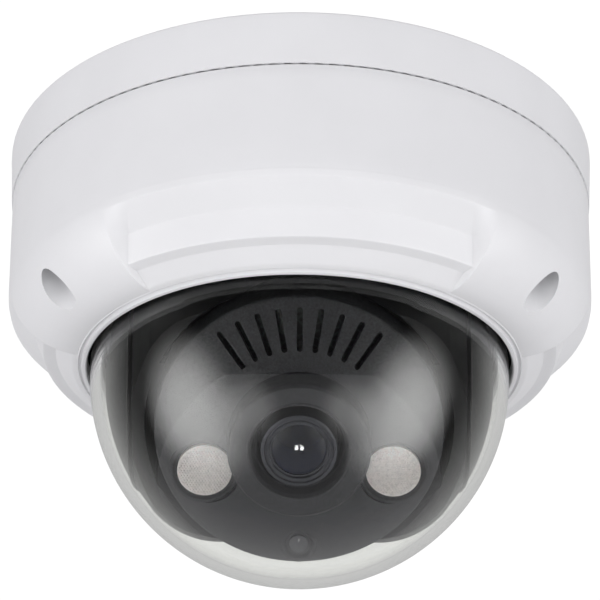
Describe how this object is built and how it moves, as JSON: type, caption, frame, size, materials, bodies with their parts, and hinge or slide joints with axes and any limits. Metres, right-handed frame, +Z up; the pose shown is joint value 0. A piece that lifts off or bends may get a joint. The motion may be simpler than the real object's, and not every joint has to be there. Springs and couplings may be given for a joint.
{
  "type": "dome security camera",
  "caption": "Round ceiling-mounted dome camera: white cover with stepped side panels, clear dome, and a lens head that pans, tilts and turns inside.",
  "frame": {"origin": "centre of the base's face that lies against the ceiling, on the pan axis", "axes": "+Z up into the ceiling along the pan axis; the lens looks towards -Y and down; +X to the right of a viewer who faces the lens's front"},
  "size_m": [0.1114, 0.1114, 0.0836],
  "materials": {
    "white_paint": "satin white powder paint on die-cast metal",
    "clear_dome": "polished clear polycarbonate",
    "face_grey": "dark grey fine spark texture",
    "grey_plastic": "dark grey semi-matte moulding",
    "black_plastic": "black semi-matte moulding",
    "barrel_black": "black anodised, fine turned rings",
    "lens_glass": "coated optical glass",
    "lamp_lens": "frosted lens with fine hexagonal facets",
    "smoke_window": "smoked clear plastic",
    "emitter": "clear resin over a chip",
    "sensor_glass": "flat cover glass",
    "black_rubber": "matte",
    "brass": "machined",
    "steel": "zinc plated",
    "plated_steel": "pressed and plated",
    "aluminium": "satin",
    "board_green": "green solder mask",
    "board_dark": "black solder mask",
    "chip_black": "moulded resin",
    "socket_white": "natural nylon",
    "card_black": "moulded"
  },
  "bodies": {
    "base": {"base_housing": "white_paint", "cable_grommet": "black_rubber", "cover_gasket": "black_rubber", "threaded_inserts": "brass", "main_board": "board_green", "board_screws": "steel", "processor": "chip_black", "processor_heatsink": "aluminium", "memory_chips": "chip_black", "network_magnetics": "chip_black", "board_sockets": "socket_white", "capacitors": "aluminium", "card_socket": "steel", "reset_switch": "steel", "pan_plate": "plated_steel", "pan_plate_screws": "steel", "friction_washer": "socket_white"},
    "memory_card": {"memory_card": "card_black"},
    "reset_button": {"reset_button": "card_black"},
    "cover": {"cover_shell": "white_paint", "screw_clips": "socket_white", "dome_gasket": "black_rubber", "dome_bubble": "clear_dome", "dome_retainer": "black_plastic", "retainer_screws": "steel"},
    "cover_screw_right": {"cover_screw_right": "steel"},
    "cover_screw_rear": {"cover_screw_rear": "steel"},
    "cover_screw_left": {"cover_screw_left": "steel"},
    "yoke": {"pan_table": "black_plastic", "pan_retainer": "plated_steel", "yoke_arm_left": "black_plastic", "yoke_arm_right": "black_plastic", "tilt_bush_left": "socket_white", "tilt_bush_right": "socket_white", "arm_screws": "steel", "cheek_left": "grey_plastic", "cheek_right": "grey_plastic"},
    "drum": {"drum_shell": "black_plastic", "tilt_pins": "steel", "head_carrier": "black_plastic", "carrier_screws": "steel"},
    "head": {"head_frame": "black_plastic", "head_retainer": "plated_steel", "sensor_board": "board_dark", "image_sensor": "sensor_glass", "lens_holder": "black_plastic", "lens_barrel": "barrel_black", "lens_glass": "lens_glass", "lens_bezel": "face_grey", "face_cover": "face_grey", "led_board": "board_dark", "board_pillars": "brass", "pillar_screws": "steel", "ir_emitter_left": "emitter", "ir_emitter_right": "emitter", "ir_lens_left": "lamp_lens", "ir_lens_right": "lamp_lens", "light_sensor": "emitter", "light_window": "smoke_window"}
  },
  "joints": [
    {"name": "cover_drop", "type": "slide", "parent": "base", "child": "cover", "axis": [0, 0, -1], "range_m": [0, 0.078]},
    {"name": "pan", "type": "hinge", "parent": "base", "child": "yoke", "pos_m": [0, 0, 0], "axis": [0, 0, 1], "range_deg": [-177.5, 177.5]},
    {"name": "tilt", "type": "hinge", "parent": "yoke", "child": "drum", "pos_m": [0, 0, -0.0457], "axis": [1, 0, 0], "range_deg": [-28, 42]},
    {"name": "rotate", "type": "hinge", "parent": "drum", "child": "head", "pos_m": [0, 0, -0.0457], "axis": [0, -0.6691, -0.7431], "range_deg": [-177.5, 177.5]},
    {"name": "card_pull", "type": "slide", "parent": "base", "child": "memory_card", "axis": [1, 0, 0], "range_m": [0, 0.011]},
    {"name": "reset_press", "type": "slide", "parent": "base", "child": "reset_button", "axis": [0, 0, 1], "range_m": [0, 0.00025], "stiffness_N_per_m": 400, "springref_m": -0.0005},
    {"name": "screw_right_turn", "type": "hinge", "parent": "cover", "child": "cover_screw_right", "pos_m": [0.04313, -0.0249, -0.023], "axis": [0, 0, 1], "continuous": true},
    {"name": "screw_rear_turn", "type": "hinge", "parent": "cover", "child": "cover_screw_rear", "pos_m": [0, 0.0498, -0.023], "axis": [0, 0, 1], "continuous": true},
    {"name": "screw_left_turn", "type": "hinge", "parent": "cover", "child": "cover_screw_left", "pos_m": [-0.04313, -0.0249, -0.023], "axis": [0, 0, 1], "continuous": true}
  ]
}
